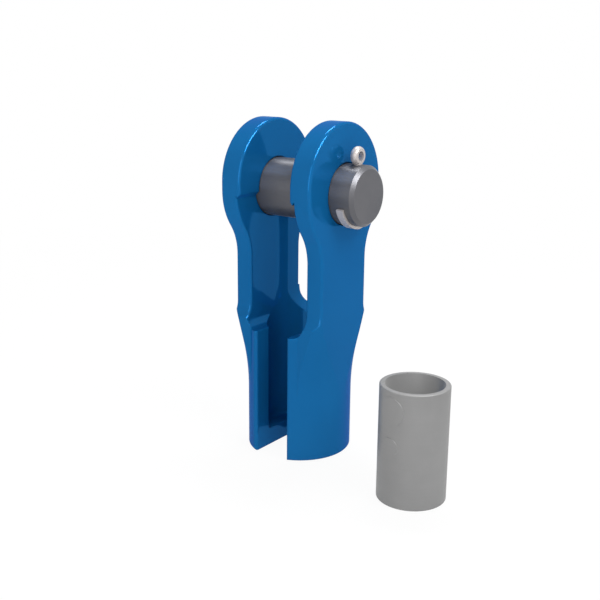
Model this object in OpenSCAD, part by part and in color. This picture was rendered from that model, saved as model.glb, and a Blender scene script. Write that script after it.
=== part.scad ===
// Open-type button socket: one cast body with a slotted basket and two eyed
// cheeks, a cross pin held by a split pin at each end, and the button sleeve
// that seats in the basket, shown standing beside the casting.
//
// Frame: millimetres. Z is the rope axis, up. X is the axis of the cross pin.
// The rope slot opens toward -Y. The origin is on the rope axis, in the plane
// of the basket's lower face.

/* [Cross pin, the size that sets the scale] */
// diameter of the cross pin
pin_d = 50;
// how far the cross pin stands out past each cheek
pin_out = 22;
// chamfer on both ends of the cross pin
pin_chamfer = 2.9;
// diameter left free around the cross pin in the eyes
pin_play = 1.6;

/* [Cheeks and jaw] */
// overall width across the two cheeks, along X
body_w = 91;
// clear width between the eye bosses
jaw_w = 50.6;
// width of the front window below its ledges, and diameter of the pocket
gap_w = 58.5;
// width of each cheek along Y
cheek_w = 65;
// outer radius of the eyes
eye_r = 51.5;
// how far the crown of each eye is raised above a plain round eye
eye_rise = 7;
// height of the pin axis above the lower face
pin_h = 229.5;
// radius of the neck between eye and cheek
neck_r = 43.5;
// how far the boss ledge lies below the pin axis
ledge_drop = 1.5;
// rounding along the rims of the cheeks
rim_r = 2.8;
// how far the arc of a rounding starts outside the faces that it joins
sink = 0.02;

/* [Basket] */
// outer diameter of the basket at its foot
basket_d = 91;
// height where the basket starts to widen
flare_z = 54;
// radius of the hollow curve that starts the flare
flare_r = 205;
// angle of the flare above that curve
flare_a = 12.1;
// distance from the axis to the flat front and rear shoulder faces
shoulder_y = 38;
// height of the centre of the hollow run-out under each cheek edge
runout_z = 131.5;
// radius of that run-out
runout_r = 16.4;
// rounding of the basket's foot
foot_r = 2;

/* [Pocket, slot and windows] */
// thickness of the basket floor
floor_t = 15.5;
// rounding in the bottom corner of the pocket
pocket_fillet = 3;
// width of the rope slot
slot_w = 32;
// height of the front lip beside the slot
lip_z = 110;
// corner radius of the front window above the lip
lip_corner = 9.5;
// height of the centre of the rear window's round bottom
rear_z = 136;
// rounding of the upright slot edges
slot_r = 2.5;

/* [Split pins] */
// distance from the cheek face to the middle of the split pin
split_x = 10.5;
// shank diameter of the split pin
split_d = 7.4;
// outer diameter of its ring eye
ring_d = 15.6;
// thickness of the half-round wire in the ring eye
ring_wire = 3.9;
// width of the wire in the ring eye and the legs, along the cross pin
split_leg_w = 6.2;
// thickness of each bent leg
split_leg_t = 2.2;
// how much wider the cross hole is than the shank
split_play = 1;
// how far each leg is bent round the cross pin, from straight down
split_bend = 70;

/* [Button sleeve] */
// outer diameter of the sleeve
sleeve_d = 55.6;
// height of the sleeve
sleeve_h = 95;
// bore at the mouth of the sleeve
sleeve_mouth = 47.5;
// bore at the small end, for the rope
sleeve_small = 29;
// height of the straight bore at the small end
sleeve_land = 12;
// radial gap between a bent split pin leg and the cross pin
leg_gap = 0.15;
// edge rounding of the sleeve
sleeve_r = 1;
// diameter of the upper and lower round pads
pad_big = 23;
pad_small = 15;
// how far the pads stand out
pad_t = 0.5;
// heights of the two pads, as parts of the sleeve's height
pad_at = [0.83, 0.525];
// direction of the pads, and where the sleeve stands
pad_az = -101;
sleeve_at = [136, -34, 0];

/* [Display] */

/* [Hidden] */
$fn = 96;
e = 0.5;

// derived sizes
W = body_w / 2;
J = jaw_w / 2;
G = gap_w / 2;
C = cheek_w / 2;
R = basket_d / 2;
hole_d = pin_d + pin_play;
top_z = pin_h + eye_rise + eye_r;
ledge_z = pin_h - ledge_drop;
ledge_h = G - J;
// neck: centre and the two points where it touches eye and cheek
neck_y = C + neck_r;
neck_z = pin_h - sqrt(pow(eye_r + neck_r, 2) - pow(neck_y, 2));
neck_a = asin((pin_h - neck_z) / (eye_r + neck_r));
eye_ty = eye_r * cos(neck_a);
eye_tz = pin_h - eye_r * sin(neck_a);
// run-out: centre and the angle where it meets the shoulder plane
run_y = C + runout_r;
run_a = acos((run_y - shoulder_y) / runout_r);
run_end = runout_z - runout_r * sin(run_a);
pin_len = body_w + 2 * pin_out;
// flare: end of the hollow curve, and the height above which the cheeks
// are no longer trimmed
flare_top = flare_z + flare_r * sin(flare_a);
flare_rt = R + flare_r * (1 - cos(flare_a));
join_z = pin_h - 65;
flare_rj = flare_rt + (join_z + 20 - flare_top) * tan(flare_a);
// rounding of the slot's upright outer edges
lip_cx = slot_w / 2 + slot_r - sink;
lip_cy = -sqrt(pow(R - slot_r + sink, 2) - pow(lip_cx, 2));
lip_k = (R + e) / (R - slot_r + sink);
// angle below the pin axis where the ledge chamfer ends on the eye's rim
ledge_a = asin((ledge_drop + ledge_h) / eye_r);
// split pin: radius where its legs bear, height of its ring above the axis
leg_r = pin_d / 2 + leg_gap;
ring_z = pin_d / 2 + ring_d / 2 - 1;

// paints and metals
paint = [0.086, 0.408, 0.643];
pin_grey = [0.36, 0.37, 0.41];
zinc = [0.80, 0.79, 0.80];
steel = [0.57, 0.57, 0.57];

// ---------------------------------------------------------------- helpers

// turn a drawing made in the YZ plane into a plate from x0 to x1
module plate(x0, x1)
    translate([x0, 0, 0]) rotate([90, 0, 90])
        linear_extrude(height = x1 - x0) children();

// turn a drawing made in the XZ plane into a block from y0 to y1
module across(y0, y1)
    translate([0, y1, 0]) rotate([90, 0, 0])
        linear_extrude(height = y1 - y0) children();

// turn a revolved drawing so that its axis lies along X; an angle of 0 then
// points down, 90 toward +Y and 180 up
module about_x(y, z, a) translate([0, y, z]) rotate([0, 90, 0])
    rotate([0, 0, a]) children();

// corner piece that leaves a quarter round of radius r; the corner of the
// stock is at the origin and the stock lies toward +x and +y
module corner2d(r)
    difference() {
        translate([-e, -e]) square(r + e);
        translate([r, r]) circle(r = r);
    }

// ------------------------------------------------------------ socket body

// outline of one cheek in YZ: eye, neck, straight edge, run-out, shoulder
module cheek_outline() {
    translate([0, pin_h]) circle(r = eye_r);
    translate([0, pin_h + eye_rise]) circle(r = eye_r);
    translate([-eye_r, pin_h]) square([2 * eye_r, eye_rise]);
    translate([-C, runout_z]) square([2 * C, pin_h - runout_z]);
    difference() {
        polygon([[-eye_ty, eye_tz], [-C, neck_z], [C, neck_z],
                 [eye_ty, eye_tz]]);
        for (s = [-1, 1])
            translate([s * neck_y, neck_z]) circle(r = neck_r);
    }
    difference() {
        polygon([[-shoulder_y, flare_z - 8], [shoulder_y, flare_z - 8],
                 [shoulder_y, run_end], [C, runout_z], [-C, runout_z],
                 [-shoulder_y, run_end]]);
        for (s = [-1, 1])
            translate([s * run_y, runout_z]) circle(r = runout_r);
    }
}

// the turned shape that trims the shoulders: foot, hollow curve, flare
module flare_limit()
    rotate_extrude() difference() {
        polygon([[0, flare_z - 12], [R, flare_z - 12], [R, flare_z],
                 [flare_rt, flare_top], [flare_rj, join_z + 20],
                 [0, join_z + 20]]);
        translate([R + flare_r, flare_z]) circle(r = flare_r);
    }

// the basket's upright drum
module drum()
    rotate_extrude() difference() {
        square([R, run_end]);
        translate([R, 0]) mirror([1, 0]) corner2d(foot_r);
    }

// jaw between the cheeks with its round-bottomed rear window, and the wider
// square-bottomed front window, which steps in to the jaw under its ledges
module windows() {
    across(-eye_r - 5, eye_r + 5) translate([-J, rear_z])
        square([jaw_w, top_z + 5 - rear_z]);
    across(0, eye_r + 5) translate([0, rear_z]) circle(r = J);
    across(-eye_r - 5, 0) {
        polygon([[-G, lip_z + lip_corner], [-G, ledge_z - ledge_h],
                 [-J, ledge_z], [J, ledge_z], [G, ledge_z - ledge_h],
                 [G, lip_z + lip_corner]]);
        translate([-G + lip_corner, lip_z])
            square([2 * (G - lip_corner), lip_corner]);
        for (s = [-1, 1]) translate([s * (G - lip_corner), lip_z + lip_corner])
            circle(r = lip_corner);
    }
}

// pocket for the sleeve, as wide as the front window, with a rounded bottom
// corner; it runs on up the cheeks' inner faces behind that window
module pocket()
    translate([0, 0, floor_t]) rotate_extrude() difference() {
        square([G, ledge_z - ledge_h - floor_t]);
        translate([G, 0]) mirror([1, 0]) corner2d(pocket_fillet);
    }

// rope slot through the floor and the front wall, round at its inner end
module slot() {
    translate([0, 0, -1]) cylinder(d = slot_w, h = floor_t + 2);
    translate([-slot_w / 2, -R - 5, -1])
        cube([slot_w, R + 5, lip_z + 2]);
    for (m = [0, 1]) mirror([m, 0, 0]) translate([0, 0, -1])
        linear_extrude(height = lip_z + 2) difference() {
            polygon([[slot_w / 2 - e, lip_cy], [lip_cx, lip_cy],
                     [lip_cx * lip_k, lip_cy * lip_k],
                     [slot_w / 2 - e, lip_cy * lip_k - 4]]);
            translate([lip_cx, lip_cy]) circle(r = slot_r);
        }
}

// corner piece for a rim. Its arc starts a hair outside both faces, so that
// it crosses them instead of only touching them.
module rim_corner() difference() {
    translate([-e, -e]) square(rim_r - sink + e);
    translate([rim_r - sink, rim_r - sink]) circle(r = rim_r);
}

// Rounding of the right cheek's rims, on its face at x = xf; s is +1 where
// the stock lies toward +X of that face, else -1.
module face_corner(s) mirror([0, s < 0 ? 1 : 0]) rim_corner();

module side_corner(s) mirror([s < 0 ? 1 : 0, 0]) rim_corner();

module both() for (m = [0, 1]) mirror([0, m, 0]) children();

module pair() for (m = [0, 1]) mirror([m, 0, 0]) children();

// the front (k = -1) or rear (k = 1) half of a pair of rims, above z
module half(k, z) pair() intersection() {
    union() children();
    translate([-W, k > 0 ? 0 : -2 * R, z]) cube([2 * W, 2 * R, top_z]);
}

// block on one side of the plane in which eye and neck touch; k is +1 for
// the eye's side, -1 for the neck's
module touch_block(xf, k)
    translate([xf, 0, pin_h]) rotate([-neck_a, 0, 0])
        translate([-10, 0, k > 0 ? 0 : -neck_y - neck_r])
            cube([20, 2 * neck_y, neck_y + neck_r]);

// lower part of the eye, from drop below the pin axis to the neck
module eye_rim(xf, s, drop) both() intersection() {
    about_x(0, pin_h, 0) rotate_extrude(angle = 90)
        translate([eye_r, xf]) mirror([1, 0]) face_corner(s);
    touch_block(xf, 1);
    translate([xf - 10, 0, pin_h - eye_r])
        cube([20, eye_r + 5, eye_r - drop]);
}

module neck_rim(xf, s) both() intersection() {
    about_x(neck_y, neck_z, 180) rotate_extrude(angle = 90)
        translate([neck_r, xf]) face_corner(s);
    touch_block(xf, -1);
}

module straight_rim(xf, s) both()
    translate([xf, -C, runout_z]) linear_extrude(height = neck_z - runout_z)
        side_corner(s);

module runout_rim(xf, s) both()
    about_x(run_y, runout_z, 270) rotate_extrude(angle = 90)
        translate([runout_r, xf]) face_corner(s);

// crown of the eye, ending drop below the pin axis
module crown_rim(xf, s, drop) {
    about_x(0, pin_h + eye_rise, 90) rotate_extrude(angle = 180)
        translate([eye_r, xf]) mirror([1, 0]) face_corner(s);
    both() translate([xf, -eye_r, pin_h]) linear_extrude(height = eye_rise)
        side_corner(s);
    if (drop > 0) both() intersection() {
        about_x(0, pin_h, 0) rotate_extrude(angle = 90)
            translate([eye_r, xf]) mirror([1, 0]) face_corner(s);
        translate([xf - 10, 0, pin_h - drop]) cube([20, eye_r + 5, drop]);
    }
}

// the casting with every opening and its outer rims rounded
module casting()
    difference() {
        union() {
            intersection() {
                plate(-W, W) cheek_outline();
                union() {
                    flare_limit();
                    translate([-W - 2, -eye_r - 2, join_z])
                        cube([body_w + 4, 2 * eye_r + 4, top_z]);
                }
            }
            drum();
        }
        windows();
        pocket();
        slot();
        translate([-W - 2, 0, pin_h]) rotate([0, 90, 0])
            cylinder(d = hole_d, h = body_w + 4);
        pair() eye_rim(W, -1, 0);
        pair() neck_rim(W, -1);
        pair() straight_rim(W, -1);
        pair() runout_rim(W, -1);
        pair() crown_rim(W, -1, 0);
        pair() crown_rim(J, 1, ledge_drop + ledge_h);
        half(-1, 0) {
            eye_rim(G, 1, ledge_drop + 0.4 * ledge_h);
            neck_rim(G, 1);
            straight_rim(G, 1);
            runout_rim(G, 1);
        }
        half(1, rear_z) {
            eye_rim(J, 1, ledge_drop + ledge_h);
            neck_rim(J, 1);
            straight_rim(J, 1);
        }
    }

module socket_body() color(paint) casting();

// -------------------------------------------------------------- cross pin

module clevis_pin() color(pin_grey)
    translate([0, 0, pin_h]) difference() {
        rotate([0, 90, 0]) rotate_extrude()
            polygon([[0, -pin_len / 2], [pin_d / 2 - pin_chamfer, -pin_len / 2],
                     [pin_d / 2, -pin_len / 2 + pin_chamfer],
                     [pin_d / 2, pin_len / 2 - pin_chamfer],
                     [pin_d / 2 - pin_chamfer, pin_len / 2],
                     [0, pin_len / 2]]);
        for (s = [-1, 1]) translate([s * (W + split_x), 0, -pin_d])
            cylinder(d = split_d + split_play, h = 2 * pin_d);
    }

// -------------------------------------------------------------- split pins

// upright split pin on the X axis: ring eye on top, legs bent round below
module split_pin(x)
    translate([x, 0, pin_h]) {
        translate([0, 0, ring_z]) rotate([0, 90, 0]) rotate_extrude()
            translate([ring_d / 2 - ring_wire, 0]) intersection() {
                circle(r = ring_wire);
                translate([0, -split_leg_w / 2])
                    square([ring_wire, split_leg_w]);
            }
        difference() {
            translate([0, 0, -leg_r - split_leg_t])
                cylinder(d = split_d, h = leg_r + split_leg_t + ring_z
                         - ring_d / 2 + ring_wire * 0.6);
            translate([-split_d, -0.25, -leg_r - split_leg_t - 1])
                cube([2 * split_d, 0.5, 2 * leg_r]);
        }
        for (m = [0, 1]) mirror([0, m, 0])
            about_x(0, 0, 1) rotate_extrude(angle = split_bend - 1)
                translate([leg_r, -split_leg_w / 2])
                    square([split_leg_t, split_leg_w]);
    }

module split_pin_right() color(zinc) split_pin(W + split_x);

module split_pin_left() color(zinc) split_pin(-W - split_x);

// ----------------------------------------------------------- button sleeve

module button_sleeve() color(steel)
    translate(sleeve_at) difference() {
        union() {
            rotate_extrude() difference() {
                square([sleeve_d / 2, sleeve_h]);
                translate([sleeve_d / 2, 0]) mirror([1, 0])
                    corner2d(sleeve_r);
                translate([sleeve_d / 2, sleeve_h]) mirror([1, 0])
                    mirror([0, 1]) corner2d(sleeve_r);
            }
            for (k = [0, 1]) intersection() {
                translate([0, 0, sleeve_h * pad_at[k]])
                    rotate([0, 90, pad_az])
                        cylinder(d = k == 0 ? pad_big : pad_small,
                                 h = sleeve_d);
                cylinder(d = sleeve_d + 2 * pad_t, h = sleeve_h);
            }
        }
        rotate_extrude()
            polygon([[0, -1], [sleeve_small / 2, -1],
                     [sleeve_small / 2, sleeve_land],
                     [sleeve_mouth / 2, sleeve_h],
                     [sleeve_mouth / 2, sleeve_h + 1], [0, sleeve_h + 1]]);
    }

socket_body();
clevis_pin();
split_pin_right();
split_pin_left();
button_sleeve();
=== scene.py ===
# Looks of the open-type button socket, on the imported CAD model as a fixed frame.
# Every CAD node keeps its shape; it gets a fine edge break and its own finish.
# Lengths are in metres.
import math

import bpy
from mathutils import Matrix, Vector

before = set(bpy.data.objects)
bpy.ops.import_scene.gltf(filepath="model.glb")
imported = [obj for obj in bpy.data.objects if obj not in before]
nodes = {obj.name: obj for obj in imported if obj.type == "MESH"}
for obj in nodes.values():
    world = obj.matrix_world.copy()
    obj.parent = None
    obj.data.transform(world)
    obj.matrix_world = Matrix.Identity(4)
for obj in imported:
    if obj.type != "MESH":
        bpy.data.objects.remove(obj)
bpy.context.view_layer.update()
scene = bpy.context.scene

# Camera, solved from the photograph's perspective
YAW, PITCH, ROLL = (math.radians(a) for a in (36.37, 15.0, 0.515))
CAMERA_AT = Vector((0.4729, -0.6429, 0.3458))
FOCAL_PX = 945.7
PICTURE_PX = 600.0
SENSOR_MM = 36.0


def place_camera():
    """Camera that looks along yaw and pitch, turned by roll about its own axis."""
    look = Vector((-math.sin(YAW) * math.cos(PITCH), math.cos(YAW) * math.cos(PITCH),
                   -math.sin(PITCH)))
    right = Vector((math.cos(YAW), math.sin(YAW), 0.0))
    up = right.cross(look)
    right, up = (right * math.cos(ROLL) + up * math.sin(ROLL),
                 up * math.cos(ROLL) - right * math.sin(ROLL))
    data = bpy.data.cameras.new("camera")
    data.sensor_width = SENSOR_MM
    data.lens = FOCAL_PX / PICTURE_PX * SENSOR_MM
    data.clip_start, data.clip_end = 0.01, 50.0
    camera = bpy.data.objects.new("camera", data)
    camera.matrix_world = Matrix((
        (right.x, up.x, -look.x, CAMERA_AT.x),
        (right.y, up.y, -look.y, CAMERA_AT.y),
        (right.z, up.z, -look.z, CAMERA_AT.z),
        (0.0, 0.0, 0.0, 1.0)))
    scene.collection.objects.link(camera)
    scene.camera = camera


place_camera()


# Node trees
def srgb(r, g, b):
    """8-bit sRGB to the linear colour that Blender's sockets take."""
    return tuple((c / 12.92 if c <= 0.04045 else ((c + 0.055) / 1.055) ** 2.4)
                 for c in (r / 255.0, g / 255.0, b / 255.0)) + (1.0,)


WHITE = (1.0, 1.0, 1.0, 1.0)


class Tree:
    """The node tree of a material or a world, with short ways to fill it."""

    def __init__(self, owner):
        owner.use_nodes = True
        self.tree = owner.node_tree
        self.tree.nodes.clear()

    def add(self, kind, **inputs):
        node = self.tree.nodes.new(kind)
        for key, value in inputs.items():
            node.inputs[key].default_value = value
        return node

    def join(self, a, b):
        self.tree.links.new(a, b)

    def maths(self, operation, *values):
        node = self.add("ShaderNodeMath")
        node.operation = operation
        for value, socket in zip(values, node.inputs):
            self.join(value, socket)
        return node.outputs[0]

    def rays(self, *kinds):
        """1 for a ray of any of these kinds and 0 for the others."""
        path = self.add("ShaderNodeLightPath")
        value = path.outputs[kinds[0]]
        for kind in kinds[1:]:
            value = self.maths("MAXIMUM", value, path.outputs[kind])
        return value

    def blend(self, share, first, second):
        node = self.add("ShaderNodeMixShader")
        for value, socket in zip((share, first.outputs[0], second.outputs[0]), node.inputs):
            self.join(value, socket)
        return node.outputs[0]


class Mat(Tree):
    """A material around one Principled shader."""

    def __init__(self, name):
        self.mat = bpy.data.materials.new(name)
        super().__init__(self.mat)
        self.out = self.add("ShaderNodeOutputMaterial")
        self.bsdf = self.add("ShaderNodeBsdfPrincipled")
        self.join(self.bsdf.outputs[0], self.out.inputs["Surface"])
        self.coord = self.add("ShaderNodeTexCoord")

    def shader(self, values):
        """Set or join the shader's own inputs by name."""
        for name, value in values.items():
            if isinstance(value, bpy.types.NodeSocket):
                self.join(value, self.bsdf.inputs[name])
            else:
                self.bsdf.inputs[name].default_value = value

    def place(self, scale):
        """Object coordinates, stretched by scale along each axis."""
        node = self.add("ShaderNodeMapping")
        node.inputs["Scale"].default_value = scale
        self.join(self.coord.outputs["Object"], node.inputs["Vector"])
        return node.outputs[0]

    def noise(self, scale, detail=3.0, rough=0.5, stretch=(1, 1, 1)):
        node = self.add("ShaderNodeTexNoise", Scale=scale, Detail=detail, Roughness=rough)
        self.join(self.place(stretch), node.inputs["Vector"])
        return node.outputs["Fac"]

    def remap(self, value, low, high, start=0.3, end=0.7):
        """The value's stretch from start to end, spread over low to high."""
        node = self.add("ShaderNodeMapRange")
        for name, number in (("From Min", start), ("From Max", end),
                             ("To Min", low), ("To Max", high)):
            node.inputs[name].default_value = number
        self.join(value, node.inputs["Value"])
        return node.outputs["Result"]

    def mottle(self, scale, detail, first, second):
        """Colour that drifts softly between two close tones."""
        node = self.add("ShaderNodeMix")
        node.data_type = "RGBA"
        factor, tone_a, tone_b, colour = 0, 6, 7, 2
        self.join(self.remap(self.noise(scale, detail), 0.0, 1.0), node.inputs[factor])
        node.inputs[tone_a].default_value = srgb(*first)
        node.inputs[tone_b].default_value = srgb(*second)
        return node.outputs[colour]

    def bump(self, height, distance, strength, before=None):
        node = self.add("ShaderNodeBump", Strength=strength, Distance=distance)
        self.join(height, node.inputs["Height"])
        if before is not None:
            self.join(before, node.inputs["Normal"])
        return node.outputs["Normal"]

    def round_edges(self, radius):
        """Shading normal that runs smoothly round every edge."""
        node = self.add("ShaderNodeBevel", Radius=radius)
        node.samples = 16
        return node.outputs["Normal"]

    def spread_highlights(self, axis):
        """Draw highlights out along the axis, except on faces that lie across it."""
        around = self.add("ShaderNodeTangent")
        around.direction_type, around.axis = "RADIAL", axis
        parts = self.add("ShaderNodeSeparateXYZ")
        self.join(self.coord.outputs["Normal"], parts.inputs[0])
        along = self.maths("ABSOLUTE", parts.outputs[axis])
        self.shader({"Tangent": around.outputs[0], "Anisotropic Rotation": 0.25,
                     "Anisotropic": self.remap(along, 0.9, 0.0, 0.1, 0.5)})


# Materials
def blue_paint():
    """Glossy blue enamel with a fine metallic pigment over a machined casting."""
    m = Mat("blue_paint")
    m.shader({"Base Color": m.mottle(9.0, 2.0, (13, 92, 149), (18, 99, 156)),
              "Metallic": 0.28,
              "Roughness": m.remap(m.noise(60.0), 0.07, 0.1),
              "Specular IOR Level": 0.0,
              "Specular Tint": srgb(90, 150, 240),
              "Coat Weight": 0.1,
              "Coat Roughness": 0.06,
              "Normal": m.bump(m.noise(700.0, 2.0), 0.00002, 0.03,
                               m.round_edges(0.0014))})
    return m


def bare_metal(name, dark, light, lines, metallic, rough, strength=0.2):
    """Bare metal; lines is roughly the fine marks to the metre along each axis."""
    m = Mat(name)
    mark = m.noise(1.0, 4.0, 0.65, lines)
    m.shader({"Base Color": m.mottle(28.0, 3.0, dark, light),
              "Metallic": metallic,
              "Roughness": m.remap(mark, *rough),
              "Normal": m.bump(mark, 0.00004, strength)})
    return m


paint = blue_paint()
pin_steel = bare_metal("pin_steel", (88, 89, 94), (97, 97, 101), (2600, 30, 30),
                       0.6, (0.36, 0.44))
pin_steel.spread_highlights("X")
zinc_wire = bare_metal("zinc_wire", (183, 176, 174), (192, 185, 183), (90, 90, 90),
                       0.35, (0.32, 0.4), 0.05)
sleeve_steel = bare_metal("sleeve_steel", (130, 130, 130), (136, 136, 136),
                          (25, 25, 2200), 0.35, (0.42, 0.55))

# Finish and width of the edge break for each node
FINISHES = {
    "socket_body": (paint, 0.0005),
    "clevis_pin": (pin_steel, 0.0004),
    "button_sleeve": (sleeve_steel, 0.0004),
    "split_pin_right": (zinc_wire, 0.0003),
    "split_pin_left": (zinc_wire, 0.0003),
}
WELD_REACH = 0.000002
FLAT_WEIGHT = 80
BREAK_ABOVE = math.radians(32)
HARD_ABOVE = math.radians(28)


def hard_edges(name):
    """Geometry nodes that drop the imported normals and mark hard edges."""
    tree = bpy.data.node_groups.new("hard_edges_" + name, "GeometryNodeTree")
    for way in ("INPUT", "OUTPUT"):
        tree.interface.new_socket("Geometry", in_out=way, socket_type="NodeSocketGeometry")
    put = tree.nodes.new
    start, end = put("NodeGroupInput"), put("NodeGroupOutput")
    drop = put("GeometryNodeRemoveAttribute")
    drop.inputs["Name"].default_value = "custom_normal"
    angle = put("GeometryNodeInputMeshEdgeAngle")
    over = put("FunctionNodeCompare")
    over.data_type, over.operation = "FLOAT", "GREATER_THAN"
    over.inputs["B"].default_value = HARD_ABOVE
    sharp, smooth = put("GeometryNodeSetShadeSmooth"), put("GeometryNodeSetShadeSmooth")
    sharp.domain, smooth.domain = "EDGE", "FACE"
    sharp.inputs["Shade Smooth"].default_value = False
    smooth.inputs["Shade Smooth"].default_value = True
    link = tree.links.new
    link(start.outputs[0], drop.inputs["Geometry"])
    link(drop.outputs[0], smooth.inputs["Geometry"])
    link(smooth.outputs[0], sharp.inputs["Geometry"])
    link(angle.outputs["Unsigned Angle"], over.inputs["A"])
    link(over.outputs["Result"], sharp.inputs["Selection"])
    link(sharp.outputs[0], end.inputs[0])
    return tree


def edge_break(obj, width):
    """Break the sharp edges by width and keep the flat faces flat in shading."""
    weld = obj.modifiers.new("weld", "WELD")
    weld.merge_threshold = WELD_REACH
    bevel = obj.modifiers.new("edge_break", "BEVEL")
    bevel.width, bevel.segments = width, 2
    bevel.limit_method, bevel.angle_limit = "ANGLE", BREAK_ABOVE
    bevel.use_clamp_overlap = True
    bevel.miter_outer = "MITER_ARC"
    hard = obj.modifiers.new("hard_edges", "NODES")
    hard.node_group = hard_edges(obj.name)
    flat = obj.modifiers.new("flat_faces", "WEIGHTED_NORMAL")
    flat.mode, flat.weight, flat.keep_sharp = "FACE_AREA", FLAT_WEIGHT, True


for name, obj in nodes.items():
    finish, width = FINISHES[name]
    obj.data.materials.clear()
    obj.data.materials.append(finish.mat)
    edge_break(obj, width)

# the photograph shows the sleeve beside the socket but not mirrored in its paint
nodes["button_sleeve"].visible_glossy = False

# Floor
FLOOR_HALF = 8.0
FLOOR_DROP = 0.0002
NEAR, FAR = 0.25, 1.1
NEAR_GLOW, FAR_GLOW = 0.93, 1.0


def pale_floor():
    """Matt floor that keeps a faint shadow near the part and is white farther out."""
    m = Mat("pale_floor")
    m.shader({"Base Color": (0.86, 0.86, 0.86, 1.0), "Roughness": 0.8,
              "Specular IOR Level": 0.1})
    reach = m.add("ShaderNodeVectorMath")
    reach.operation = "LENGTH"
    m.join(m.coord.outputs["Object"], reach.inputs[0])
    glow = m.remap(reach.outputs["Value"], NEAR_GLOW, FAR_GLOW, NEAR, FAR)
    share = m.maths("MULTIPLY", m.rays("Is Camera Ray", "Is Glossy Ray"), glow)
    white = m.add("ShaderNodeEmission", Color=WHITE, Strength=1.0)
    m.join(m.blend(share, m.bsdf, white), m.out.inputs["Surface"])
    return m


corners = [(x * FLOOR_HALF, y * FLOOR_HALF, 0) for x, y in ((-1, -1), (1, -1), (1, 1), (-1, 1))]
floor_mesh = bpy.data.meshes.new("floor")
floor_mesh.from_pydata(corners, [], [(0, 1, 2, 3)])
floor_mesh.materials.append(pale_floor().mat)
floor = bpy.data.objects.new("floor", floor_mesh)
floor.location.z = -FLOOR_DROP
scene.collection.objects.link(floor)

# World: soft light on the part, plain white where it is seen
world = bpy.data.worlds.new("studio")
scene.world = world
sky = Tree(world)
soft = sky.add("ShaderNodeBackground", Color=WHITE, Strength=0.5)
seen = sky.add("ShaderNodeBackground", Color=WHITE, Strength=1.0)
sky_rays = sky.rays("Is Camera Ray", "Is Glossy Ray", "Is Transmission Ray")
sky_out = sky.add("ShaderNodeOutputWorld")
sky.join(sky.blend(sky_rays, soft, seen), sky_out.inputs["Surface"])

# Lamps, in metres and watts
LAMPS_AIM = Vector((0.03, 0.0, 0.14))
FROM_SIDE = (0.66, -0.10, 0.74)


def lamp(name, toward, distance, width, height, power):
    """Soft box that looks at the part from the direction toward."""
    data = bpy.data.lights.new(name, "AREA")
    data.shape, data.size, data.size_y, data.energy = "RECTANGLE", width, height, power
    obj = bpy.data.objects.new(name, data)
    direction = Vector(toward).normalized()
    obj.location = LAMPS_AIM + direction * distance
    obj.rotation_mode = "QUATERNION"
    obj.rotation_quaternion = direction.to_track_quat("Z", "Y")
    scene.collection.objects.link(obj)
    return obj


lamp("side", FROM_SIDE, 1.6, 0.9, 0.9, 12.0)
lamp("top", (-0.14, 0.3, 0.92), 1.6, 0.8, 0.4, 17.0)
lamp("front", (0.35, -0.88, 0.28), 1.8, 1.2, 1.2, 10.0)
# a narrow lamp that only shows as glints on rounded edges
lamp("glint", FROM_SIDE, 1.5, 1.2, 0.3, 20.0).visible_diffuse = False

scene.view_settings.view_transform = "Standard"
